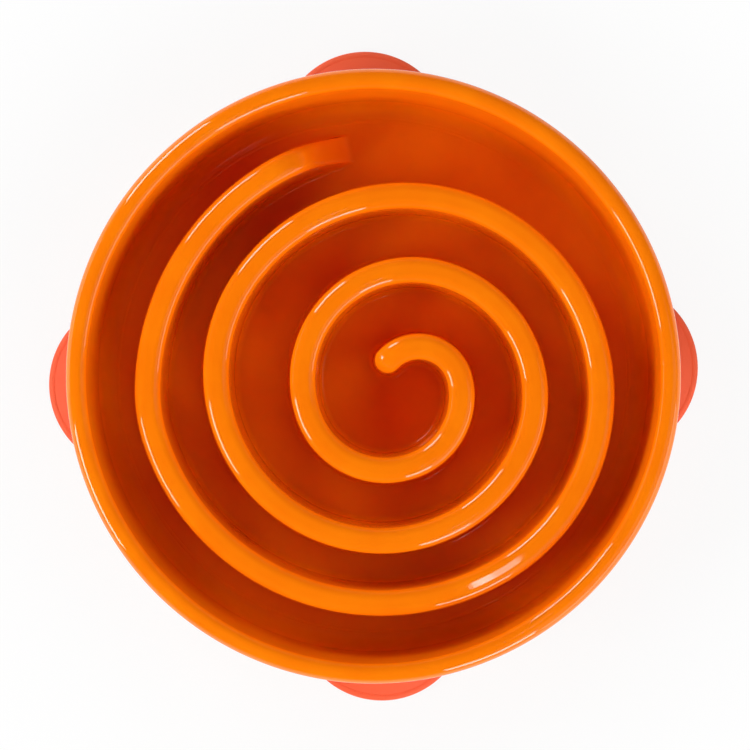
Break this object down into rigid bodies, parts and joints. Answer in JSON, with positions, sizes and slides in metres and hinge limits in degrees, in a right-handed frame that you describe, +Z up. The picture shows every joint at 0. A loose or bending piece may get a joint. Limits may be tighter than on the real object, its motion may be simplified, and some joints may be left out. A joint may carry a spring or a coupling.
{
  "type": "slow feeder bowl",
  "caption": "Round slow feeder bowl of glossy plastic with a rolled rim, a hollow spiral ridge that divides its well into food channels, and soft rubber feet.",
  "frame": {"origin": "on the ground under the middle of the bowl", "axes": "+Z up, +X towards one foot and +Y towards the next"},
  "size_m": [0.296, 0.296, 0.052],
  "materials": {
    "bowl_plastic": "polished injection moulding",
    "foot_rubber": "soft matte moulding"
  },
  "bodies": {
    "root": {"bowl": "bowl_plastic", "foot_right": "foot_rubber", "foot_back": "foot_rubber", "foot_left": "foot_rubber", "foot_front": "foot_rubber"}
  },
  "joints": []
}
